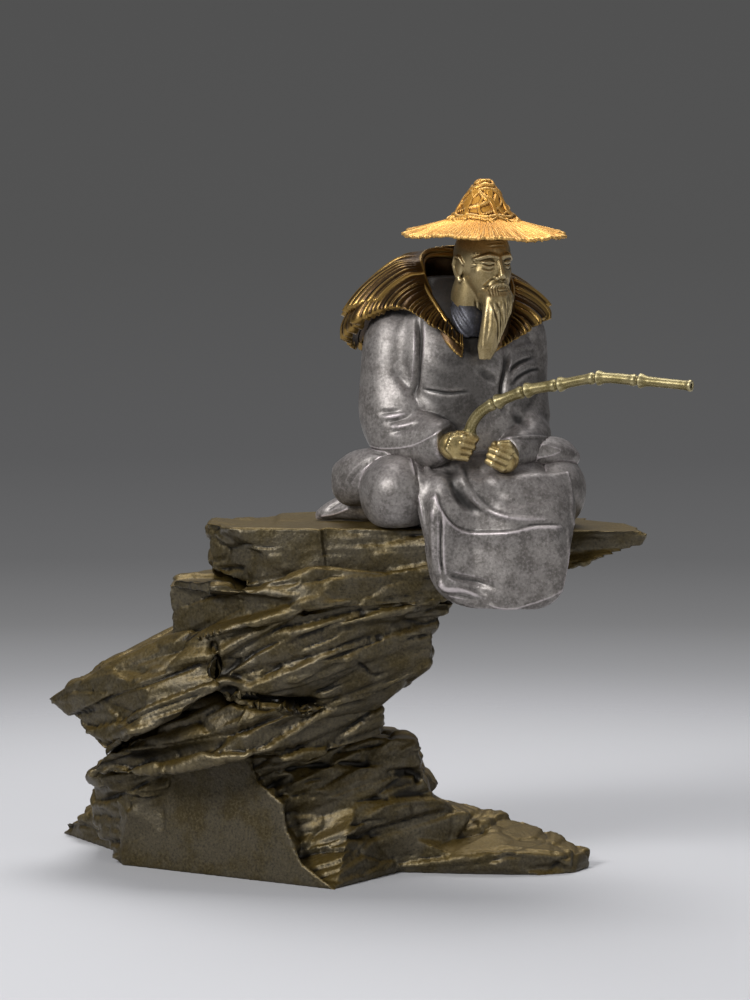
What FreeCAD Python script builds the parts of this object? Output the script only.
"""Okimono of a seated fisherman: a patinated bronze figure in a straw hat and straw cape,
holding a bamboo rod, on a crag of layered rock. Millimetres, +Z up, the front faces -Y.

The origin is on the standing face, under the middle of the rock's hollow foot.
The rock is a stack of hollow castings, each cut to the one that it meets. The figure is
an assembly of castings in differently coloured metals, held on the ledge by studs and nuts.
The hat lifts off a peg on the head, and the rod draws out of the right fist.
Places on the figure are in heads, the sculptor's unit, from the middle of the seat.
"""

import FreeCAD
import Part

import math
import os
from dataclasses import dataclass

Vector = FreeCAD.Vector
FULL_TURN = 2 * math.pi

# Heights of the rock's stack, from the floor to the seat
FOOT_HEIGHT = 92.0
NECK_RISE = 28.0
CRAG_RISE = 63.0
LEDGE_THICKNESS = 45.0
NECK_SKIRT = 32.0
SEAM_LAP = 14.0
BLOCK_THICKNESS = 42.0
STEP_DROP = 76.0

# Plan sizes of the rock's castings, and where their low left corners stand
LEDGE_LENGTH, LEDGE_DEPTH, LEDGE_LEFT, LEDGE_FRONT = 233.0, 130.0, -60.0, -60.0
BLOCK_LENGTH, BLOCK_DEPTH, BLOCK_LEFT, BLOCK_FRONT = 77.0, 108.0, -105.0, -50.0
STEP_LENGTH, STEP_DEPTH, STEP_LEFT, STEP_FRONT = 182.0, 144.0, -130.0, -64.0
STEP_HEIGHT = 55.0
CRAG_LENGTH, CRAG_DEPTH, CRAG_LEFT, CRAG_FRONT = 151.0, 138.0, -99.0, -58.0
FIN_LENGTH, FIN_DEPTH, FIN_LEFT, FIN_FRONT = 113.0, 124.0, -208.0, -50.0
FIN_HEIGHT = 85.0
NECK_LENGTH, NECK_DEPTH, NECK_LEFT, NECK_FRONT = 193.0, 138.0, -184.0, -50.0
RIDGE_LENGTH, RIDGE_DEPTH, RIDGE_LEFT, RIDGE_FRONT = 143.0, 165.0, -79.0, -45.0
SHELF_LENGTH, SHELF_DEPTH, SHELF_LEFT, SHELF_FRONT = 63.0, 118.0, -185.0, 12.0
SHELF_HEIGHT = 75.0
TOE_LENGTH, TOE_DEPTH, TOE_LEFT, TOE_FRONT = 58.0, 82.0, -208.0, 80.0
TOE_HEIGHT = 24.0
SPUR_LENGTH, SPUR_DEPTH, SPUR_LEFT, SPUR_FRONT = 123.0, 81.0, 20.0, -1.0
SPUR_HEIGHT = 44.0

# The flat split face at the foot's front left corner
SPLIT_LEFT, SPLIT_FRONT = -162.0, 35.0
SPLIT_LENGTH, SPLIT_HEIGHT, SPLIT_DEPTH = 163.0, 80.0, 96.0
SPLIT_YAW = 30.7
SPLIT_LEAN = 3.0

# The hollow inside the rock
HOLLOW_LENGTH, HOLLOW_DEPTH, HOLLOW_LEFT, HOLLOW_FRONT = 190.0, 130.0, -132.0, -32.0
HOLLOW_SHOULDER_SHARE = 0.6
LEDGE_SKIN = 14.0
CUT_OVERRUN = 6.0

# The seat of the figure, and the head, the sculptor's unit for places on the figure
SEAT_X, SEAT_Y = 66.0, 0.0
HEAD = 50.0
BODY_YAW = 20.0
GAZE_YAW = 32.0

# The head and the hands
SKULL_WIDTH, SKULL_DEPTH, SKULL_HEIGHT = 37.0, 41.0, 50.0
JAW_WIDTH, JAW_DEPTH, JAW_HEIGHT = 25.0, 25.0, 28.0
NOSE_WIDTH, NOSE_DEPTH, NOSE_HEIGHT = 5.0, 8.0, 11.0
EAR_WIDTH, EAR_DEPTH, EAR_HEIGHT = 5.0, 8.0, 14.0
PALM_WIDTH, PALM_DEPTH, PALM_HEIGHT = 19.0, 18.0, 20.0
FINGER_RADIUS, FINGER_LENGTH, FINGER_PITCH = 2.8, 12.0, 4.1
THUMB_RADIUS, THUMB_LENGTH = 3.1, 10.0
WRIST_RADIUS = 5.6

# The knees in their trouser legs
KNEE_WIDTH, KNEE_DEPTH, KNEE_HEIGHT = 47.0, 55.0, 48.0

# The straw cape and its rolled collar
CAPE_NECK_RADIUS = 23.0
CAPE_THICKNESS = 3.4
CAPE_TUFT_DEPTH = 4.0
CAPE_TUFTS = 28
COLLAR_THICKNESS = 4.6

# The hat
HAT_RADIUS = 52.6
HAT_HEIGHT = 35.0
HAT_WALL = 1.6
HAT_TILT = 1.6
HAT_CROWN_DEPTH = 7.0
HAT_NOTCHES = 44
HAT_NOTCH_DEPTH = 1.5
HAT_BOSS_RADIUS = 4.6
PEG_RADIUS = 1.7
PEG_LENGTH = 9.0
RUNNING_CLEARANCE = 0.08

# The bamboo rod
ROD_REACH = 149.0
ROD_RISE = 37.5
ROD_YAW = 28.0
ROD_BUTT_RADIUS = 3.5
ROD_RADIUS = 3.6
ROD_TIP_RADIUS = 2.9
ROD_NODE_FLARE = 1.1
ROD_SHOULDER_SHARE = 0.25
ROD_TIP_SHARE = 0.6
ROD_NODE_WIDTH = 3.2
ROD_PLUG_LENGTH = 11.0
ROD_SOCKET_RADIUS = 1.7
ROD_SOCKET_DEPTH = 9.0
ROD_SEAT_RADIUS = 5.4

# Fasteners under the ledge, and the dowels across the rock's seams
STUD_RADIUS = 2.0
STUD_GRIP = 14.0
STUD_TAIL = 9.0
STUD_HOLE_CLEARANCE = 0.2
WASHER_RADIUS, WASHER_THICKNESS = 5.0, 1.0
NUT_ACROSS_FLATS, NUT_HEIGHT = 7.0, 3.2
DOWEL_RADIUS, DOWEL_LENGTH = 2.5, 16.0

SEAT_HEIGHT = FOOT_HEIGHT + NECK_RISE + CRAG_RISE + LEDGE_THICKNESS
SEAT = Vector(SEAT_X, SEAT_Y, SEAT_HEIGHT)


@dataclass(frozen=True)
class Slab:
    """A broken slab of rock: its box, and two rings of corners as shares of that box."""

    corner: tuple
    size: tuple
    front_shares: tuple
    back_shares: tuple
    peak_shares: tuple

    def point(self, share):
        """One corner in millimetres."""
        places = [low + length * part for low, length, part in zip(self.corner, self.size, share)]
        return Vector(*places)

    def solid(self):
        """Flat facets between the rings, and a shallow fan of facets over each ring."""
        front = [self.point(share) for share in self.front_shares]
        back = [self.point(share) for share in self.back_shares]
        front_peak, back_peak = (self.point(share) for share in self.peak_shares)
        return faceted_solid(front, back, front_peak, back_peak)


def triangle(a, b, c):
    """A flat three-cornered face."""
    return Part.Face(Part.makePolygon([a, b, c, a]))


def closed_solid(faces):
    """A solid from faces that close up, facing outwards."""
    solid = Part.makeSolid(Part.makeShell(faces))
    if solid.Volume < 0:
        solid.reverse()
    return solid


def faceted_solid(front, back, front_peak, back_peak):
    """A solid with flat facets between two rings of as many corners, each ring closed by a fan."""
    faces = []
    for i in range(len(front)):
        j = (i + 1) % len(front)
        faces.append(triangle(front[i], front[j], front_peak))
        faces.append(triangle(back[j], back[i], back_peak))
        faces.append(triangle(front[j], front[i], back[i]))
        faces.append(triangle(front[j], back[i], back[j]))
    return closed_solid(faces)


def one_solid(shape):
    """The largest solid of a boolean result, so that no crumb is kept."""
    return max(shape.Solids, key=lambda solid: solid.Volume)


def on_figure(side_share, depth_share, height_share):
    """A place on the figure, in heads from the middle of the seat."""
    return SEAT + Vector(side_share, depth_share, height_share) * HEAD


def yawed(degrees):
    """The level directions across and in front of something turned to its left by this much."""
    angle = math.radians(degrees)
    across = Vector(math.cos(angle), math.sin(angle), 0)
    ahead = Vector(math.sin(angle), -math.cos(angle), 0)
    return across, ahead


def ring(centre, across, upward, half_across, half_upward, points=12):
    """A closed smooth oval through evenly spread points, always begun on the same side."""
    places = []
    for i in range(points):
        angle = FULL_TURN * i / points
        places.append(
            centre
            + across * (half_across * math.cos(angle))
            + upward * (half_upward * math.sin(angle))
        )
    curve = Part.BSplineCurve()
    curve.interpolate(places, PeriodicFlag=True)
    return Part.Wire(curve.toShape())


def ball(centre, half_x, half_y, half_z, yaw=0.0):
    """An egg: a unit ball stretched, turned about the upright and set on its centre."""
    stretch = FreeCAD.Matrix()
    stretch.scale(half_x, half_y, half_z)
    shape = Part.makeSphere(1.0).transformGeometry(stretch)
    shape.rotate(Vector(), Vector(0, 0, 1), yaw)
    shape.translate(centre)
    return shape.Solids[0]


def swept_sleeve(stations, across):
    """A bent tube of cloth through ovals. Each station is place, direction and two radii, in heads."""
    wires = []
    for side, depth, height, direction, half_across, half_up in stations:
        along = Vector(*direction).normalize()
        level = (across - along * across.dot(along)).normalize()
        upward = along.cross(level)
        oval_middle = on_figure(side, depth, height)
        wires.append(ring(oval_middle, level, upward, half_across * HEAD, half_up * HEAD))
    return Part.makeLoft(wires, True).Solids[0]


# The rock's slabs, from the ledge down. Shares are of each slab's length, depth and height.
def ledge_slab():
    """The long top slab that carries the figure and ends in a tongue on the right."""
    return Slab(
        (LEDGE_LEFT, LEDGE_FRONT, SEAT_HEIGHT - LEDGE_THICKNESS),
        (LEDGE_LENGTH, LEDGE_DEPTH, LEDGE_THICKNESS),
        (
            (0.00, 0.14, 1.00), (0.34, 0.08, 1.00), (0.79, 0.00, 1.00), (1.00, 0.19, 0.93),
            (0.99, 0.21, 0.73), (0.87, 0.08, 0.58), (0.79, 0.03, 0.44), (0.47, 0.08, 0.02),
            (0.01, 0.13, 0.09),
        ),
        (
            (0.00, 0.82, 1.00), (0.34, 1.00, 1.00), (0.67, 0.91, 1.00), (0.95, 0.48, 0.96),
            (0.96, 0.48, 0.78), (0.83, 0.58, 0.60), (0.68, 0.83, 0.42), (0.45, 0.92, 0.07),
            (0.01, 0.80, 0.11),
        ),
        ((0.52, 0.02, 0.53), (0.38, 0.98, 0.51)),
    )


def ledge_block_slab():
    """The square block that ends the ledge on the left."""
    return Slab(
        (BLOCK_LEFT, BLOCK_FRONT, SEAT_HEIGHT - BLOCK_THICKNESS),
        (BLOCK_LENGTH, BLOCK_DEPTH, BLOCK_THICKNESS),
        (
            (0.00, 0.35, 1.00), (0.19, 0.09, 1.00), (0.97, 0.00, 1.00),
            (1.00, 0.00, 0.05), (0.38, 0.09, 0.07), (0.03, 0.32, 0.26),
        ),
        (
            (0.06, 0.74, 0.98), (0.27, 0.91, 0.90), (0.92, 1.00, 1.00),
            (0.97, 0.94, 0.10), (0.43, 0.87, 0.00), (0.09, 0.70, 0.14),
        ),
        ((0.56, 0.03, 0.52), (0.53, 0.96, 0.52)),
    )


def step_slab():
    """The slab that juts out under the ledge like a step."""
    return Slab(
        (STEP_LEFT, STEP_FRONT, SEAT_HEIGHT - STEP_DROP),
        (STEP_LENGTH, STEP_DEPTH, STEP_HEIGHT),
        (
            (0.00, 0.41, 0.67), (0.12, 0.13, 0.69), (0.34, 0.06, 0.75), (0.51, 0.03, 0.98),
            (0.81, 0.03, 0.91), (0.95, 0.06, 1.00), (1.00, 0.08, 0.58), (0.81, 0.03, 0.53),
            (0.64, 0.00, 0.51), (0.47, 0.01, 0.44), (0.22, 0.07, 0.22), (0.13, 0.12, 0.12),
            (0.02, 0.41, 0.00),
        ),
        (
            (0.05, 0.76, 0.65), (0.16, 0.88, 0.69), (0.35, 0.94, 0.73), (0.51, 0.97, 0.80),
            (0.81, 1.00, 0.80), (0.96, 0.96, 0.76), (0.99, 0.93, 0.47), (0.81, 0.99, 0.36),
            (0.64, 1.00, 0.29), (0.47, 0.99, 0.22), (0.23, 0.93, 0.11), (0.13, 0.85, 0.07),
            (0.07, 0.74, 0.04),
        ),
        ((0.49, -0.01, 0.60), (0.51, 1.00, 0.51)),
    )


def crag_slab():
    """The body of the crag, which leans out under the ledge."""
    return Slab(
        (CRAG_LEFT, CRAG_FRONT, FOOT_HEIGHT + NECK_RISE - SEAM_LAP),
        (CRAG_LENGTH, CRAG_DEPTH, CRAG_RISE + SEAM_LAP),
        (
            (0.01, 0.13, 0.74), (0.36, 0.00, 0.92), (0.77, 0.00, 1.00), (1.00, 0.12, 0.97),
            (0.91, 0.12, 0.69), (0.90, 0.13, 0.45), (0.79, 0.16, 0.28), (0.68, 0.20, 0.09),
            (0.36, 0.14, 0.03), (0.11, 0.12, 0.13), (0.00, 0.10, 0.26),
        ),
        (
            (0.05, 0.86, 0.69), (0.36, 0.94, 0.79), (0.76, 0.99, 0.85), (0.96, 0.87, 0.90),
            (0.89, 0.86, 0.64), (0.88, 0.84, 0.41), (0.77, 0.81, 0.23), (0.66, 0.78, 0.05),
            (0.36, 0.83, 0.00), (0.13, 0.86, 0.08), (0.03, 0.83, 0.26),
        ),
        ((0.46, -0.01, 0.54), (0.47, 0.99, 0.44)),
    )


def fin_slab():
    """The great slab that runs down to a point on the left."""
    return Slab(
        (FIN_LEFT, FIN_FRONT, FOOT_HEIGHT - SEAM_LAP),
        (FIN_LENGTH, FIN_DEPTH, FIN_HEIGHT),
        (
            (0.00, 0.65, 0.36), (0.08, 0.56, 0.47), (0.32, 0.40, 0.68), (0.69, 0.28, 0.93),
            (0.98, 0.10, 1.00), (1.00, 0.00, 0.58), (0.79, 0.04, 0.40), (0.50, 0.12, 0.21),
            (0.35, 0.32, 0.00), (0.16, 0.56, 0.26),
        ),
        (
            (0.07, 0.82, 0.40), (0.14, 0.89, 0.47), (0.37, 0.94, 0.66), (0.73, 0.98, 0.87),
            (1.00, 0.97, 0.94), (1.02, 0.98, 0.52), (0.81, 1.00, 0.35), (0.55, 0.98, 0.16),
            (0.42, 0.94, 0.05), (0.23, 0.85, 0.24),
        ),
        ((0.60, 0.13, 0.54), (0.62, 1.03, 0.47)),
    )


def neck_slab():
    """The narrow band between the foot and the crag."""
    return Slab(
        (NECK_LEFT, NECK_FRONT, FOOT_HEIGHT - NECK_SKIRT),
        (NECK_LENGTH, NECK_DEPTH, NECK_SKIRT + NECK_RISE),
        (
            (0.08, 0.36, 0.30), (0.16, 0.29, 0.48), (0.45, 0.14, 0.90), (0.58, 0.04, 1.00),
            (0.76, 0.04, 0.92), (0.97, 0.18, 0.95), (1.00, 0.22, 0.53), (0.73, 0.07, 0.33),
            (0.55, 0.01, 0.40), (0.30, 0.14, 0.20), (0.00, 0.51, 0.03),
        ),
        (
            (0.12, 0.80, 0.33), (0.20, 0.87, 0.50), (0.46, 0.93, 0.80), (0.59, 0.96, 0.87),
            (0.77, 0.94, 0.83), (0.95, 0.84, 0.87), (0.98, 0.80, 0.50), (0.73, 0.91, 0.30),
            (0.55, 0.94, 0.33), (0.31, 0.91, 0.20), (0.07, 0.87, 0.03),
        ),
        ((0.56, 0.01, 0.63), (0.56, 1.00, 0.57)),
    )


def ridge_slab():
    """The ridge of the foot, behind and to the right of the split face."""
    return Slab(
        (RIDGE_LEFT, RIDGE_FRONT, 0),
        (RIDGE_LENGTH, RIDGE_DEPTH, FOOT_HEIGHT),
        (
            (0.00, 0.22, 0.87), (0.24, 0.27, 1.00), (0.62, 0.32, 0.96), (0.75, 0.36, 0.93),
            (0.81, 0.36, 0.65), (0.86, 0.39, 0.47), (1.00, 0.42, 0.38), (0.83, 0.36, 0.00),
            (0.69, 0.34, 0.00), (0.40, 0.00, 0.00), (0.14, 0.24, 0.20), (0.08, 0.24, 0.48),
            (0.02, 0.24, 0.67),
        ),
        (
            (0.06, 0.88, 0.76), (0.27, 0.94, 0.91), (0.59, 0.93, 0.87), (0.73, 0.88, 0.80),
            (0.80, 0.85, 0.57), (0.85, 0.83, 0.41), (0.96, 0.81, 0.30), (0.86, 0.81, 0.00),
            (0.62, 0.93, 0.00), (0.34, 1.00, 0.00), (0.13, 0.99, 0.20), (0.05, 0.95, 0.43),
            (0.02, 0.92, 0.63),
        ),
        ((0.48, 0.21, 0.48), (0.48, 0.95, 0.43)),
    )


def shelf_slab():
    """The shelf on the left of the foot."""
    return Slab(
        (SHELF_LEFT, SHELF_FRONT, 0),
        (SHELF_LENGTH, SHELF_DEPTH, SHELF_HEIGHT),
        (
            (0.00, 0.28, 0.80), (0.49, 0.03, 1.00), (0.87, 0.00, 0.91), (0.90, 0.08, 0.53),
            (0.84, 0.07, 0.27), (0.56, 0.19, 0.00), (0.35, 0.22, 0.00), (0.02, 0.51, 0.35),
            (0.05, 0.41, 0.60),
        ),
        (
            (0.11, 0.83, 0.75), (0.56, 0.90, 0.93), (0.94, 0.85, 0.85), (1.00, 0.90, 0.53),
            (0.97, 0.88, 0.24), (0.71, 1.00, 0.00), (0.40, 0.92, 0.00), (0.08, 0.85, 0.29),
            (0.11, 0.83, 0.53),
        ),
        ((0.46, 0.15, 0.51), (0.56, 0.93, 0.51)),
    )


def toe_slab():
    """The low toe that runs out behind on the left."""
    return Slab(
        (TOE_LEFT, TOE_FRONT, 0),
        (TOE_LENGTH, TOE_DEPTH, TOE_HEIGHT),
        (
            (0.03, 0.71, 0.38), (0.43, 0.34, 0.79), (0.74, 0.02, 0.42),
            (0.74, 0.00, 0.00), (0.62, 0.09, 0.00), (0.00, 0.83, 0.00),
        ),
        (
            (0.14, 0.98, 0.33), (0.55, 0.85, 1.00), (1.00, 0.61, 0.92),
            (1.00, 0.67, 0.00), (0.74, 0.91, 0.00), (0.10, 1.00, 0.00),
        ),
        ((0.41, 0.37, 0.33), (0.55, 0.88, 0.42)),
    )


def spur_slab():
    """The low spur that runs out to the right."""
    return Slab(
        (SPUR_LEFT, SPUR_FRONT, 0),
        (SPUR_LENGTH, SPUR_DEPTH, SPUR_HEIGHT),
        (
            (0.03, 0.11, 0.55), (0.23, 0.07, 0.30), (0.57, 0.00, 0.34), (0.85, 0.06, 0.25),
            (0.90, 0.11, 0.00), (0.72, 0.01, 0.00), (0.35, 0.05, 0.00), (0.00, 0.12, 0.00),
        ),
        (
            (0.13, 0.93, 0.95), (0.37, 0.78, 0.82), (0.65, 0.65, 0.61), (1.00, 0.41, 0.27),
            (0.99, 0.35, 0.00), (0.75, 0.65, 0.00), (0.37, 0.90, 0.00), (0.07, 1.00, 0.00),
        ),
        ((0.46, 0.01, 0.16), (0.52, 0.75, 0.36)),
    )


def split_block():
    """The block behind the flat split face, drawn on that face and run back into the foot."""
    along, ahead = yawed(-SPLIT_YAW)
    lean = math.tan(math.radians(SPLIT_LEAN))
    outline_shares = (
        (0.00, 0.00), (1.00, 0.00), (0.84, 0.19), (0.77, 0.45), (0.75, 0.64), (0.63, 0.80),
        (0.59, 1.00), (0.24, 0.82), (0.20, 0.65), (0.21, 0.33), (0.06, 0.20),
    )
    corner = Vector(SPLIT_LEFT, SPLIT_FRONT, 0)
    upward = Vector(0, 0, 1) - ahead * lean
    points = [
        corner + along * (SPLIT_LENGTH * right) + upward * (SPLIT_HEIGHT * high)
        for right, high in outline_shares
    ]
    face = Part.Face(Part.makePolygon(points + points[:1]))
    return face.extrude(Vector(0, SPLIT_DEPTH, 0)).Solids[0]


def rock_hollow():
    """The castings' common hollow, open under the foot and closed under the seat. Each level
    is a height and six corners, as shares of the hollow's length and depth."""
    foot = FOOT_HEIGHT * HOLLOW_SHOULDER_SHARE
    neck = FOOT_HEIGHT + NECK_RISE / 2
    crag = FOOT_HEIGHT + NECK_RISE + CRAG_RISE / 2
    root = SEAT_HEIGHT - 2 * LEDGE_SKIN
    top = SEAT_HEIGHT - LEDGE_SKIN
    level_shares = (
        (-CUT_OVERRUN,
         ((0.02, 0.58), (0.54, 0.13), (0.74, 0.42), (0.82, 0.84), (0.58, 1.00), (0.08, 0.98))),
        (foot, ((0.12, 0.58), (0.42, 0.30), (0.66, 0.42), (0.72, 0.72), (0.52, 0.90), (0.16, 0.88))),
        (neck, ((0.14, 0.40), (0.38, 0.16), (0.60, 0.22), (0.64, 0.56), (0.50, 0.72), (0.16, 0.66))),
        (crag, ((0.24, 0.16), (0.50, 0.02), (0.76, 0.06), (0.80, 0.52), (0.60, 0.70), (0.26, 0.62))),
        (root, ((0.56, 0.14), (0.78, 0.06), (0.96, 0.08), (0.96, 0.48), (0.82, 0.60), (0.56, 0.52))),
        (top, ((0.62, 0.14), (0.84, 0.06), (1.16, 0.08), (1.16, 0.46), (0.88, 0.60), (0.62, 0.52))),
    )
    wires = []
    for height, corner_shares in level_shares:
        points = [
            Vector(HOLLOW_LEFT + HOLLOW_LENGTH * right, HOLLOW_FRONT + HOLLOW_DEPTH * back, height)
            for right, back in corner_shares
        ]
        wires.append(Part.makePolygon(points + points[:1]))
    return Part.makeLoft(wires, True, True).Solids[0]


def rock_castings():
    """The six castings of the rock, each cut to those above it and hollowed."""
    ledge = one_solid(ledge_slab().solid().fuse(ledge_block_slab().solid()))
    foot = split_block()
    for slab in (ridge_slab(), shelf_slab(), toe_slab(), spur_slab()):
        foot = foot.fuse(slab.solid())
    stack = [
        ("rock_ledge", ledge),
        ("rock_step_slab", step_slab().solid()),
        ("rock_crag", crag_slab().solid()),
        ("rock_left_fin", fin_slab().solid()),
        ("rock_neck", neck_slab().solid()),
        ("rock_foot", one_solid(foot).removeSplitter()),
    ]
    hollow = rock_hollow()
    castings = {}
    above = []
    for name, solid in stack:
        if above:
            solid = one_solid(solid.cut(above))
        above.append(solid)
        castings[name] = one_solid(solid.cut(hollow))
    return castings


def oval_tube(station_shares, across, ahead):
    """A smooth standing form through level ovals. Each station is a place and two half widths,
    as shares of the head."""
    wires = [
        ring(on_figure(side, depth, height), across, ahead, half_across * HEAD, half_depth * HEAD)
        for side, depth, height, half_across, half_depth in station_shares
    ]
    return Part.makeLoft(wires, True).Solids[0]


# The figure's clothes. Places and half widths are shares of the head, from the middle of the seat.
def torso_casting():
    """The upper robe, bent forward from the waist, as ovals from the lap to the nape."""
    station_shares = (
        (0.00, -0.12, 0.68, 0.92, 0.68), (0.00, -0.20, 1.14, 0.90, 0.68), (-0.06, -0.20, 1.74, 0.94, 0.66),
        (-0.14, -0.12, 2.24, 0.96, 0.64), (-0.22, -0.02, 2.62, 0.82, 0.56), (-0.30, 0.04, 2.90, 0.58, 0.46),
        (-0.34, 0.06, 3.08, 0.30, 0.28),
    )
    return oval_tube(station_shares, *yawed(BODY_YAW))


def lap_casting():
    """The robe over the crossed legs, flat where it sits on the ledge."""
    outline_shares = (
        (-0.90, -0.40), (-0.84, -0.86), (-0.58, -1.12), (-0.20, -1.24), (0.24, -1.28), (0.66, -1.16),
        (0.98, -0.82), (1.10, -0.40), (1.14, 0.04), (1.04, 0.44), (0.76, 0.78), (0.12, 1.00),
        (-0.56, 0.94), (-1.04, 0.58), (-1.08, 0.06),
    )
    level_shares = ((0.00, 0.92), (0.16, 0.98), (0.40, 1.00), (0.66, 0.95), (0.86, 0.82), (0.98, 0.56))
    middle_shares = (0.04, -0.20)
    wires = []
    for height, swell in level_shares:
        places = []
        for outline_share in outline_shares:
            side, depth = (
                middle + (share - middle) * swell for share, middle in zip(outline_share, middle_shares)
            )
            places.append(on_figure(side, depth, height))
        curve = Part.BSplineCurve()
        curve.interpolate(places, PeriodicFlag=True)
        wires.append(Part.Wire(curve.toShape()))
    return Part.makeLoft(wires, True).Solids[0]


def leg_castings():
    """The two bent knees in their trouser legs, each a pile of level ovals."""
    place_shares = {"right_leg": (-0.99, -0.83), "left_leg": (0.90, -0.46)}
    pile_shares = (
        (0.03, 0.52), (0.14, 0.80), (0.34, 0.97), (0.52, 1.00), (0.72, 0.86), (0.88, 0.54), (0.94, 0.26),
    )
    legs = {}
    for name, (side, depth) in place_shares.items():
        half_width, half_depth = KNEE_WIDTH / 2 / HEAD, KNEE_DEPTH / 2 / HEAD
        station_shares = [
            (side, depth, height * KNEE_HEIGHT / HEAD, half_width * swell, half_depth * swell)
            for height, swell in pile_shares
        ]
        legs[name] = oval_tube(station_shares, *yawed(0))
    return legs


def sleeve_castings():
    """The two wide sleeves and the lower layer that hangs out of each."""
    right_sleeve_shares = (
        (-0.76, -0.08, 2.60, (-0.50, -0.10, -0.85), 0.32, 0.28),
        (-0.98, -0.16, 2.28, (-0.20, -0.10, -0.95), 0.42, 0.42),
        (-1.00, -0.24, 1.80, (0.00, -0.10, -1.00), 0.44, 0.46),
        (-0.96, -0.36, 1.32, (0.20, -0.35, -0.90), 0.48, 0.50),
        (-0.80, -0.64, 1.06, (0.60, -0.60, -0.40), 0.36, 0.42),
        (-0.56, -0.92, 1.06, (0.80, -0.60, 0.00), 0.28, 0.34),
        (-0.38, -1.12, 1.10, (0.80, -0.60, 0.00), 0.22, 0.26),
    )
    right_lining_shares = (
        (-0.52, -0.88, 0.92, (-1.00, 0.40, -0.20), 0.16, 0.16),
        (-0.92, -0.72, 0.80, (-1.00, 0.45, -0.30), 0.24, 0.24),
        (-1.32, -0.48, 0.64, (-1.00, 0.45, -0.30), 0.28, 0.32),
        (-1.62, -0.32, 0.54, (-1.00, 0.30, -0.10), 0.24, 0.32),
        (-1.80, -0.26, 0.54, (-1.00, 0.20, 0.00), 0.10, 0.16),
    )
    left_sleeve_shares = (
        (0.44, 0.10, 2.58, (0.50, 0.00, -0.85), 0.30, 0.26),
        (0.54, 0.06, 2.24, (0.20, -0.10, -0.95), 0.36, 0.34),
        (0.56, -0.08, 1.68, (0.00, -0.20, -1.00), 0.34, 0.36),
        (0.58, -0.28, 1.24, (-0.10, -0.50, -0.85), 0.36, 0.38),
        (0.58, -0.64, 1.00, (-0.40, -0.85, -0.20), 0.30, 0.32),
        (0.46, -0.92, 0.96, (-0.50, -0.85, 0.00), 0.22, 0.24),
        (0.36, -1.08, 0.96, (-0.50, -0.85, 0.00), 0.16, 0.18),
    )
    left_lining_shares = (
        (0.56, -0.84, 0.90, (1.00, 0.40, 0.00), 0.14, 0.14),
        (0.84, -0.66, 0.92, (1.00, 0.45, 0.00), 0.22, 0.20),
        (1.10, -0.50, 0.88, (1.00, 0.40, -0.20), 0.20, 0.18),
        (1.26, -0.44, 0.80, (1.00, 0.30, -0.30), 0.08, 0.10),
    )
    right_across, left_across, lining_across = Vector(0.6, 0.8, 0), Vector(0.85, -0.5, 0), Vector(0, 1, 0)
    return {
        "right_sleeve": swept_sleeve(right_sleeve_shares, right_across),
        "right_sleeve_lining": swept_sleeve(right_lining_shares, lining_across),
        "left_sleeve": swept_sleeve(left_sleeve_shares, left_across),
        "left_sleeve_lining": swept_sleeve(left_lining_shares, lining_across),
    }


def front_drape():
    """The skirt of the robe, folded over the lap and hanging in front of the ledge. Each level
    is a height, a thickness and places along its front."""
    side_shares = (-0.66, -0.44, -0.12, 0.26, 0.64, 0.98, 1.18)
    level_shares = (
        (0.70, 0.44, 0.96, 0.0, (-1.14, -1.30, -1.30, -1.32, -1.24, -1.08, -0.84)),
        (0.34, 0.44, 1.02, 0.0, (-1.28, -1.48, -1.38, -1.44, -1.44, -1.28, -1.02)),
        (0.00, 0.44, 1.00, 0.0, (-1.32, -1.52, -1.36, -1.50, -1.52, -1.40, -1.20)),
        (-0.40, 0.40, 0.94, 0.0, (-1.32, -1.52, -1.40, -1.52, -1.54, -1.46, -1.36)),
        (-0.76, 0.18, 0.82, 0.06, (-1.32, -1.48, -1.44, -1.54, -1.54, -1.48, -1.40)),
        (-0.94, 0.12, 0.46, 0.20, (-1.36, -1.46, -1.48, -1.52, -1.52, -1.48, -1.42)),
    )
    wires = []
    for height, thickness, spread, shift, depth_shares in level_shares:
        front = [
            on_figure(side * spread + shift, depth, height)
            for side, depth in zip(side_shares, depth_shares)
        ]
        back = [place + Vector(0, thickness * HEAD, 0) for place in reversed(front)]
        outer, inner = Part.BSplineCurve(), Part.BSplineCurve()
        outer.interpolate(front)
        inner.interpolate(back)
        edges = [
            outer.toShape(),
            Part.makeLine(front[-1], back[0]),
            inner.toShape(),
            Part.makeLine(back[-1], front[0]),
        ]
        wires.append(Part.Wire(edges))
    return Part.makeLoft(wires, True).Solids[0]


def robe_tail():
    """The corner of the robe that lies on the ledge behind the right knee."""
    station_shares = (
        (-2.02, 0.12, 0.04, (1.00, -0.20, 0.05), 0.05, 0.05),
        (-1.88, 0.10, 0.10, (1.00, -0.20, 0.05), 0.14, 0.11),
        (-1.70, 0.06, 0.15, (1.00, -0.20, 0.05), 0.19, 0.15),
        (-1.40, -0.04, 0.18, (1.00, -0.20, 0.05), 0.22, 0.19),
        (-1.12, -0.10, 0.20, (1.00, -0.20, 0.05), 0.20, 0.19),
        (-0.90, -0.14, 0.20, (1.00, -0.20, 0.05), 0.18, 0.19),
    )
    return swept_sleeve(station_shares, Vector(0, 1, 0))


def inner_collar():
    """The under-robe, which shows as a dark V below the beard."""
    station_shares = (
        (-0.04, -0.22, 2.94, 0.34, 0.30), (-0.06, -0.42, 2.66, 0.32, 0.30),
        (-0.08, -0.58, 2.36, 0.20, 0.18),
    )
    return oval_tube(station_shares, *yawed(BODY_YAW))


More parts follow.
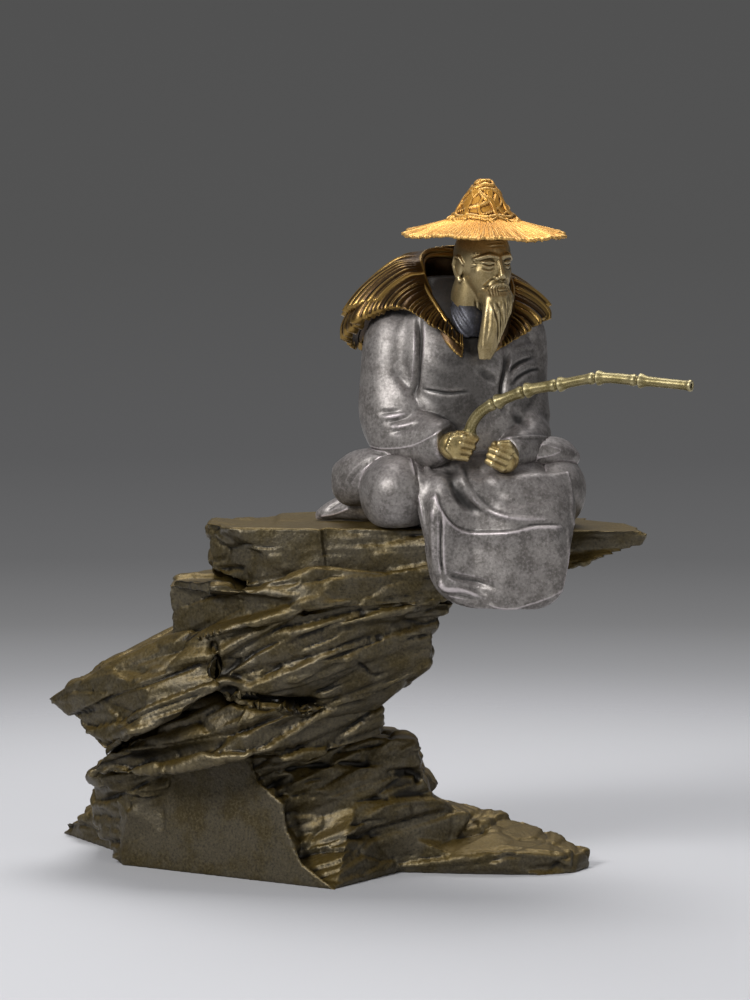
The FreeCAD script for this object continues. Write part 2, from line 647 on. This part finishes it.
# The straw cape, by angle from the front round by the right shoulder. Each station has the
# hem's radius and level and the neck edge's level, as shares of the head.
CAPE_PLACE_SHARES = (-0.20, -0.08, 0.0)
CAPE_SHARES = (
    (18, 0.78, 2.22, 2.38), (45, 0.84, 2.48, 2.66), (70, 0.92, 2.68, 2.90), (88, 1.08, 2.60, 3.10),
    (100, 1.34, 2.40, 3.22), (112, 1.46, 2.24, 3.28), (130, 1.48, 2.06, 3.34), (150, 1.44, 1.98, 3.38),
    (180, 1.36, 2.02, 3.38), (210, 1.30, 2.10, 3.32), (240, 1.22, 2.22, 3.20), (268, 1.12, 2.48, 3.04),
    (300, 1.02, 2.50, 2.84), (328, 0.92, 2.34, 2.60), (344, 0.84, 2.22, 2.38),
)
# Down the length of a tuft: how far out it has come, and how far down
CAPE_PROFILE_SHARES = ((0.00, 0.00), (0.34, 0.10), (0.72, 0.38), (0.98, 0.74), (1.00, 1.00))


def cape_at(angle):
    """Hem radius, hem level and neck level at one angle, between the chosen stations."""
    for (a, *low), (b, *high) in zip(CAPE_SHARES, CAPE_SHARES[1:]):
        if a <= angle <= b:
            part = (angle - a) / (b - a)
            return [(one + (two - one) * part) * HEAD for one, two in zip(low, high)]
    raise ValueError("the angle is outside the cape")


def cape_row(angle, tip):
    """Places down the cape at one angle, on the crest of a tuft or in the groove beside it."""
    radius, hem, neck = cape_at(angle)
    direction = math.radians(BODY_YAW - 90 - angle)
    outward = Vector(math.cos(direction), math.sin(direction), 0)
    foot = on_figure(*CAPE_PLACE_SHARES)
    row = []
    sink = 0 if tip else CAPE_TUFT_DEPTH
    for out, down in CAPE_PROFILE_SHARES:
        reach = CAPE_NECK_RADIUS + (radius - CAPE_NECK_RADIUS) * out - sink * out / 2
        level = neck - (neck - hem) * down + sink * down
        row.append(foot + outward * reach + Vector(0, 0, level))
    inward = outward * (-CAPE_THICKNESS / 2) - Vector(0, 0, CAPE_THICKNESS)
    return row, [place + inward for place in row]


def quad_faces(a, b, c, d):
    """Two flat triangles over four corners, always split on the same diagonal."""
    return [triangle(a, b, c), triangle(a, c, d)]


def straw_cape():
    """A flared shell of straw tufts: ridges down its length and a pointed hem."""
    start, stop = CAPE_SHARES[0][0], CAPE_SHARES[-1][0]
    count = 2 * CAPE_TUFTS
    rows = [cape_row(start + (stop - start) * i / count, i % 2) for i in range(count + 1)]
    faces = []
    steps = range(len(CAPE_PROFILE_SHARES) - 1)
    for (top, low), (next_top, next_low) in zip(rows, rows[1:]):
        for j in steps:
            faces += quad_faces(top[j], next_top[j], next_top[j + 1], top[j + 1])
            faces += quad_faces(low[j + 1], next_low[j + 1], next_low[j], low[j])
        faces += quad_faces(top[-1], next_top[-1], next_low[-1], low[-1])
        faces += quad_faces(low[0], next_low[0], next_top[0], top[0])
    for j in steps:
        top, low = rows[0]
        faces += quad_faces(top[j], top[j + 1], low[j + 1], low[j])
        top, low = rows[-1]
        faces += quad_faces(low[j], low[j + 1], top[j + 1], top[j])
    return closed_solid(faces)


def cape_collar():
    """The rolled band at the neck of the cape, from the V at the front round the nape. Each
    station is a place on its top edge, the way that it faces, and its height."""
    station_shares = (
        (-0.16, -0.80, 2.30, 0.22), (-0.44, -0.62, 2.72, 0.34), (-0.66, -0.24, 3.12, 0.46),
        (-0.60, 0.20, 3.40, 0.56), (-0.20, 0.42, 3.46, 0.58), (0.22, 0.28, 3.34, 0.54),
        (0.42, -0.16, 3.02, 0.44), (0.34, -0.60, 2.64, 0.32), (0.06, -0.82, 2.30, 0.22),
    )
    facings = (-100, -140, -175, 140, 95, 45, 0, -45, -75)
    wires = []
    for (side, depth, height, tall), degrees in zip(station_shares, facings):
        angle = math.radians(degrees)
        outward = Vector(math.cos(angle), math.sin(angle), 0) * (COLLAR_THICKNESS / 2)
        top = on_figure(side, depth, height)
        foot = top + outward * 2 - Vector(0, 0, tall * HEAD)
        points = [top - outward, top + outward, foot + outward, foot - outward]
        wires.append(Part.makePolygon(points + points[:1]))
    return Part.makeLoft(wires, True, True).Solids[0]


# The head and the hat
HEAD_PLACE_SHARES = (0.08, -0.48, 3.28)
CROWN_PLACE_SHARES = (0.08, -0.44, 3.76)


def on_head(across_share, ahead_share, up_share):
    """A place on the head, as shares of the skull's half width, half depth and half height."""
    across, ahead = yawed(GAZE_YAW)
    place = on_figure(*HEAD_PLACE_SHARES)
    place += across * (across_share * SKULL_WIDTH / 2)
    place += ahead * (ahead_share * SKULL_DEPTH / 2)
    return place + Vector(0, 0, up_share * SKULL_HEIGHT / 2)


def head_casting():
    """Skull, jaw, ears, nose, neck and long beard in one casting, with a flat for the hat."""
    skull = ball(on_head(0, 0, 0), SKULL_WIDTH / 2, SKULL_DEPTH / 2, SKULL_HEIGHT / 2, GAZE_YAW)
    jaw_share, nose_share, ear_share = (0.0, 0.40, -0.72), (0.0, 0.98, -0.20), (1.0, 0.0, -0.12)
    jaw = ball(on_head(*jaw_share), JAW_WIDTH / 2, JAW_DEPTH / 2, JAW_HEIGHT / 2, GAZE_YAW)
    pieces = [jaw, ball(on_head(*nose_share), NOSE_WIDTH / 2, NOSE_DEPTH / 2, NOSE_HEIGHT / 2, GAZE_YAW)]
    for sign in (-1, 1):
        place = on_head(sign * ear_share[0], ear_share[1], ear_share[2])
        pieces.append(ball(place, EAR_WIDTH / 2, EAR_DEPTH / 2, EAR_HEIGHT / 2, GAZE_YAW))
    across, ahead = yawed(GAZE_YAW)
    neck_shares = (
        (-0.06, -0.20, 2.60, 0.22, 0.22), (-0.04, -0.24, 2.84, 0.22, 0.22),
        (0.04, -0.40, 3.14, 0.24, 0.24),
    )
    beard_shares = (
        (0.24, -0.78, 2.92, 0.21, 0.14), (0.22, -0.88, 2.70, 0.19, 0.12), (0.16, -0.92, 2.42, 0.15, 0.10),
        (0.10, -0.94, 2.20, 0.10, 0.08), (0.08, -0.94, 2.10, 0.05, 0.05),
    )
    pieces += [oval_tube(neck_shares, across, ahead), oval_tube(beard_shares, across, ahead)]
    above = Part.makeCylinder(SKULL_HEIGHT, SKULL_HEIGHT, on_figure(*CROWN_PLACE_SHARES), hat_axis())
    return one_solid(skull.fuse(pieces).cut(above))


def hat_axis():
    """The direction in which the hat lifts off: it leans a little towards the gaze."""
    ahead = yawed(GAZE_YAW)[1]
    lean = math.radians(HAT_TILT)
    return (Vector(0, 0, math.cos(lean)) + ahead * math.sin(lean)).normalize()


def hat_casting():
    """A thin flared hat with a nicked brim, and a boss inside the crown for the peg."""
    profile_shares = (
        (0.00, 1.00), (0.085, 0.985), (0.14, 0.91), (0.21, 0.74), (0.29, 0.55), (0.37, 0.38),
        (0.47, 0.28), (0.70, 0.16), (1.00, 0.00),
    )
    outer = [Vector(HAT_RADIUS * out, 0, HAT_HEIGHT * up) for out, up in profile_shares]
    inner = [place - Vector(0, 0, HAT_WALL) for place in reversed(outer)]
    top, low = Part.BSplineCurve(), Part.BSplineCurve()
    top.interpolate(outer[1:])
    low.interpolate(inner[:-1])
    edges = [
        Part.makeLine(outer[0], outer[1]),
        top.toShape(),
        Part.makeLine(outer[-1], inner[0]),
        low.toShape(),
        Part.makeLine(inner[-2], inner[-1]),
        Part.makeLine(inner[-1], outer[0]),
    ]
    hat = Part.Face(Part.Wire(edges)).revolve(Vector(), Vector(0, 0, 1), 360).Solids[0]
    seat = Vector(0, 0, HAT_CROWN_DEPTH)
    boss_height = HAT_HEIGHT - HAT_WALL - HAT_CROWN_DEPTH
    hat = hat.fuse(Part.makeCylinder(HAT_BOSS_RADIUS, boss_height, seat))
    bore = Part.makeCylinder(PEG_RADIUS + RUNNING_CLEARANCE, PEG_LENGTH, seat)
    hat = one_solid(hat.cut([bore, *brim_nicks()]))
    hat.rotate(Vector(), Vector(0, 0, 1).cross(hat_axis()), HAT_TILT)
    hat.translate(on_figure(*CROWN_PLACE_SHARES) - hat_axis() * HAT_CROWN_DEPTH)
    return hat


def brim_nicks():
    """Wedges that nick the brim where the straw ends are uneven."""
    nicks = []
    for i in range(HAT_NOTCHES):
        angle = FULL_TURN * i / HAT_NOTCHES
        bite = HAT_NOTCH_DEPTH * (1 + math.sin(3 * angle) / 2)
        out = Vector(math.cos(angle), math.sin(angle), 0)
        along = Vector(-math.sin(angle), math.cos(angle), 0) * HAT_NOTCH_DEPTH
        low_end = Vector(0, 0, -CUT_OVERRUN)
        rim = out * (HAT_RADIUS + HAT_WALL) + low_end
        root = out * (HAT_RADIUS - bite) + low_end
        nicks.append(triangle(root, rim + along * 2, rim - along).extrude(Vector(0, 0, 2 * CUT_OVERRUN)))
    return nicks


def hat_peg():
    """The pin that stands on the crown and holds the hat."""
    crown = on_figure(*CROWN_PLACE_SHARES)
    root = crown - hat_axis() * PEG_LENGTH
    return Part.makeCylinder(PEG_RADIUS, 2 * PEG_LENGTH - RUNNING_CLEARANCE, root, hat_axis())


# The rod, drawn in its own upright plane: reach along it and rise, as shares.
ROD_PATH_SHARES = (
    (0.000, 0.000), (0.018, 0.200), (0.060, 0.390), (0.131, 0.547), (0.265, 0.752),
    (0.415, 0.872), (0.587, 1.000), (0.774, 0.981), (1.000, 0.928),
)
ROD_NODE_SHARES = (0.131, 0.265, 0.415, 0.587, 0.774)
ROD_BUTT_SHARES = (-0.114, -1.32, 1.208)


def rod_point(reach_share, rise_share):
    """A place in the rod's plane."""
    ahead = yawed(ROD_YAW)[0]
    level = Vector(ahead.x, -ahead.y, 0)
    butt = on_figure(*ROD_BUTT_SHARES)
    return butt + level * (ROD_REACH * reach_share) + Vector(0, 0, ROD_RISE * rise_share)


def rod_curve():
    """The rod's centre line as one smooth curve."""
    curve = Part.BSplineCurve()
    curve.interpolate([rod_point(*share) for share in ROD_PATH_SHARES])
    return curve


def rod_seat():
    """Where the rod leaves the fist, and the direction in which it draws out."""
    curve = rod_curve()
    start = curve.FirstParameter
    along = Vector(*curve.tangent(start)[0]).normalize()
    return curve.value(start), along


def bamboo_rod():
    """A jointed cane with flared nodes, a plain plug at the butt and an open tip."""
    curve = rod_curve()
    first, last = curve.FirstParameter, curve.LastParameter
    length = curve.length()
    node_lengths = [curve.length(first, curve.parameter(rod_point(*path))) for path in ROD_PATH_SHARES[3:8]]
    half, shoulder = ROD_NODE_WIDTH / 2, ROD_NODE_FLARE * ROD_SHOULDER_SHARE
    stations = [(0.0, ROD_NODE_FLARE)]
    for place in node_lengths:
        stations += [(place - half, 0.0), (place, ROD_NODE_FLARE), (place + half, shoulder)]
    middles = [ROD_NODE_WIDTH, (ROD_NODE_WIDTH + node_lengths[0]) / 2]
    middles += [(a + b) / 2 for a, b in zip(node_lengths, node_lengths[1:] + [length])]
    stations += [(place, 0.0) for place in middles]
    stations += [(length - ROD_NODE_WIDTH, 0.0), (length, ROD_NODE_FLARE * ROD_TIP_SHARE)]
    wires = []
    for place, flare in sorted(stations):
        parameter = curve.parameterAtDistance(place, first)
        centre, along = curve.value(parameter), Vector(*curve.tangent(parameter)[0]).normalize()
        radius = ROD_RADIUS + (ROD_TIP_RADIUS - ROD_RADIUS) * place / length + flare
        wires.append(Part.Wire(Part.makeCircle(radius, centre, along)))
    cane = Part.makeLoft(wires, True, True).Solids[0]
    seat, along = rod_seat()
    plug_length = ROD_PLUG_LENGTH + ROD_NODE_WIDTH
    plug = Part.makeCylinder(
        ROD_BUTT_RADIUS - RUNNING_CLEARANCE, plug_length, seat - along * ROD_PLUG_LENGTH, along
    )
    tip = curve.value(last)
    outward = Vector(*curve.tangent(last)[0]).normalize()
    socket = Part.makeCylinder(
        ROD_SOCKET_RADIUS, ROD_SOCKET_DEPTH + CUT_OVERRUN, tip - outward * ROD_SOCKET_DEPTH, outward
    )
    return one_solid(cane.fuse(plug).cut(socket))


def finger(start, end, radius):
    """A round-ended bar."""
    along = end - start
    shape = Part.makeCylinder(radius, along.Length, start, along)
    return shape.fuse([Part.makeSphere(radius, start), Part.makeSphere(radius, end)])


def fist(middle, across, ahead, upward, wrist):
    """Palm, four stacked fingers, a thumb over them, and a wrist that runs up the sleeve."""
    pieces = [finger(middle, wrist, WRIST_RADIUS)]
    front = middle + ahead * (PALM_DEPTH / 3)
    for i in range(4):
        level = front + upward * (FINGER_PITCH * (1.5 - i))
        reach = across * (FINGER_LENGTH / 2)
        pieces.append(finger(level - reach, level + reach, FINGER_RADIUS))
    thumb = middle + upward * (PALM_HEIGHT / 3)
    pieces.append(finger(thumb, thumb + (across + ahead / 2) * (THUMB_LENGTH / 2), THUMB_RADIUS))
    palm = ball(middle, PALM_WIDTH / 2, PALM_DEPTH / 2, PALM_HEIGHT / 2)
    return palm.fuse(pieces)


def right_hand():
    """The fist round the rod, with a blind bore for its plug."""
    seat, along = rod_seat()
    across, ahead = yawed(GAZE_YAW)
    wrist_share = (-0.56, -0.94, 1.07)
    middle = seat - along * (PALM_HEIGHT / 2) - across * (ROD_BUTT_RADIUS / 2)
    shape = fist(middle, across, ahead, along, on_figure(*wrist_share))
    bore = Part.makeCylinder(ROD_BUTT_RADIUS, ROD_PLUG_LENGTH, seat - along * ROD_PLUG_LENGTH, along)
    way_out = Part.makeCylinder(ROD_SEAT_RADIUS, PALM_HEIGHT, seat, along)
    return one_solid(shape.cut([bore, way_out]))


def left_hand():
    """The other fist, closed on the lap."""
    across, ahead = yawed(-BODY_YAW)
    place_share, wrist_share = (0.28, -1.27, 0.94), (0.46, -0.90, 0.97)
    return one_solid(fist(on_figure(*place_share), across, ahead, Vector(0, 0, 1), on_figure(*wrist_share)))


# The fastenings. A dowel's place is a share of the ledge's length, its depth and the seat's height.
DOWEL_PLACE_SHARES = (
    (0.00, 0.62, 0.825), (0.34, 0.90, 0.855), (0.00, 0.19, 0.746), (0.34, 0.90, 0.759), (0.00, 0.19, 0.487),
    (0.21, 0.85, 0.478), (-0.04, 0.46, 0.360), (-0.21, 0.77, 0.680),
)
STUD_PLACE_SHARES = ((-0.52, -0.24), (-0.08, -0.20), (-0.36, 0.36))


def stud_feet():
    """Where each stud crosses the top of the ledge."""
    return [on_figure(side, depth, 0) for side, depth in STUD_PLACE_SHARES]


def figure_studs():
    """Studs from the figure's underside down through the ledge."""
    return cylinders_at_studs(STUD_RADIUS, -LEDGE_SKIN - STUD_TAIL, STUD_GRIP)


def washers():
    """A washer under the ledge on each stud."""
    low = -LEDGE_SKIN - WASHER_THICKNESS
    discs = cylinders_at_studs(WASHER_RADIUS, low, -LEDGE_SKIN)
    holes = cylinders_at_studs(STUD_RADIUS + RUNNING_CLEARANCE, low, -LEDGE_SKIN)
    return [disc.cut(hole) for disc, hole in zip(discs, holes)]


def nuts():
    """A hexagon nut under each washer."""
    high = -LEDGE_SKIN - WASHER_THICKNESS
    corner_radius = NUT_ACROSS_FLATS / math.sqrt(3)
    made = []
    for foot, hole in zip(stud_feet(), cylinders_at_studs(STUD_RADIUS, high - NUT_HEIGHT, high)):
        base = foot + Vector(0, 0, high - NUT_HEIGHT)
        angles = [FULL_TURN * i / 6 for i in range(7)]
        corners = [base + Vector(math.cos(angle), math.sin(angle), 0) * corner_radius for angle in angles]
        prism = Part.Face(Part.makePolygon(corners)).extrude(Vector(0, 0, NUT_HEIGHT))
        made.append(prism.cut(hole))
    return made


def seam_dowels():
    """Upright pins across the seams between the rock's castings."""
    pins = []
    for right, back, up in DOWEL_PLACE_SHARES:
        middle = Vector(
            LEDGE_LEFT + LEDGE_LENGTH * right, LEDGE_FRONT + LEDGE_DEPTH * back, SEAT_HEIGHT * up
        )
        pins.append(Part.makeCylinder(DOWEL_RADIUS, DOWEL_LENGTH, middle - Vector(0, 0, DOWEL_LENGTH / 2)))
    return pins


def cylinders_at_studs(radius, low, high):
    """A cylinder on each stud's line, between two heights from the top of the ledge."""
    return [Part.makeCylinder(radius, high - low, foot + Vector(0, 0, low)) for foot in stud_feet()]


def figure_castings():
    """Every casting of the figure, each cut to the earlier ones that it seats on."""
    stud_bores = cylinders_at_studs(STUD_RADIUS + RUNNING_CLEARANCE, -CUT_OVERRUN, STUD_GRIP)
    parts = {
        "head": head_casting().cut(hat_peg()),
        "right_hand": right_hand(),
        "left_hand": left_hand(),
        "robe_torso": torso_casting(),
        "robe_lap": lap_casting().cut(stud_bores),
    }
    parts.update(leg_castings())
    parts.update(sleeve_castings())
    parts["inner_collar"] = inner_collar()
    parts["cape_collar"] = cape_collar()
    parts["straw_cape"] = straw_cape()
    parts["front_drape"] = front_drape()
    parts["robe_tail"] = robe_tail()
    seats = {
        "robe_torso": ("head",),
        "robe_lap": ("robe_torso", "left_hand"),
        "right_leg": ("robe_lap", "robe_torso"),
        "left_leg": ("robe_lap",),
        "right_sleeve": ("right_hand", "robe_torso", "robe_lap", "right_leg"),
        "right_sleeve_lining": ("right_hand", "robe_torso", "robe_lap", "right_leg", "right_sleeve"),
        "left_sleeve": ("left_hand", "robe_torso", "robe_lap", "left_leg"),
        "left_sleeve_lining": ("robe_torso", "robe_lap", "left_leg", "left_sleeve"),
        "inner_collar": ("head", "robe_torso"),
        "cape_collar": ("head", "robe_torso", "inner_collar", "left_sleeve"),
        "straw_cape": ("cape_collar", "inner_collar", "robe_torso", "left_sleeve"),
        "front_drape": ("robe_lap", "right_leg", "left_leg"),
        "robe_tail": ("robe_lap",),
    }
    whole = dict(parts)
    for name, others in seats.items():
        for other in others:
            parts[name] = one_solid(parts[name].cut(whole[other]))
    return parts


def build():
    """Every piece under its node's name."""
    dowels = seam_dowels()
    parts = {name: one_solid(casting.cut(dowels)) for name, casting in rock_castings().items()}
    ledge = parts["rock_ledge"]
    bolt_holes = cylinders_at_studs(
        STUD_RADIUS + STUD_HOLE_CLEARANCE, -LEDGE_SKIN - CUT_OVERRUN, CUT_OVERRUN
    )
    parts["rock_ledge"] = one_solid(ledge.cut(bolt_holes))
    figure = figure_castings()
    for name in ("robe_lap", "right_leg", "left_leg", "front_drape", "robe_tail", "right_sleeve_lining"):
        figure[name] = one_solid(figure[name].cut(ledge))
    figure["front_drape"] = one_solid(figure["front_drape"].cut(parts["rock_step_slab"]))
    parts.update(figure)
    parts["hat_peg"] = hat_peg()
    parts["straw_hat"] = hat_casting()
    parts["bamboo_rod"] = bamboo_rod()
    parts["seam_dowels"] = Part.makeCompound(dowels)
    parts["figure_studs"] = Part.makeCompound(figure_studs())
    parts["stud_washers"] = Part.makeCompound(washers())
    parts["stud_nuts"] = Part.makeCompound(nuts())
    return parts


def main():
    """Builds the pieces and writes one file for each."""
    os.makedirs("parts", exist_ok=True)
    for name, shape in build().items():
        shape.exportStep(f"parts/{name}.step")
        print(f"{name}: {len(shape.Solids)} solid(s), {shape.Volume:.0f} mm3, valid {shape.isValid()}")


main()
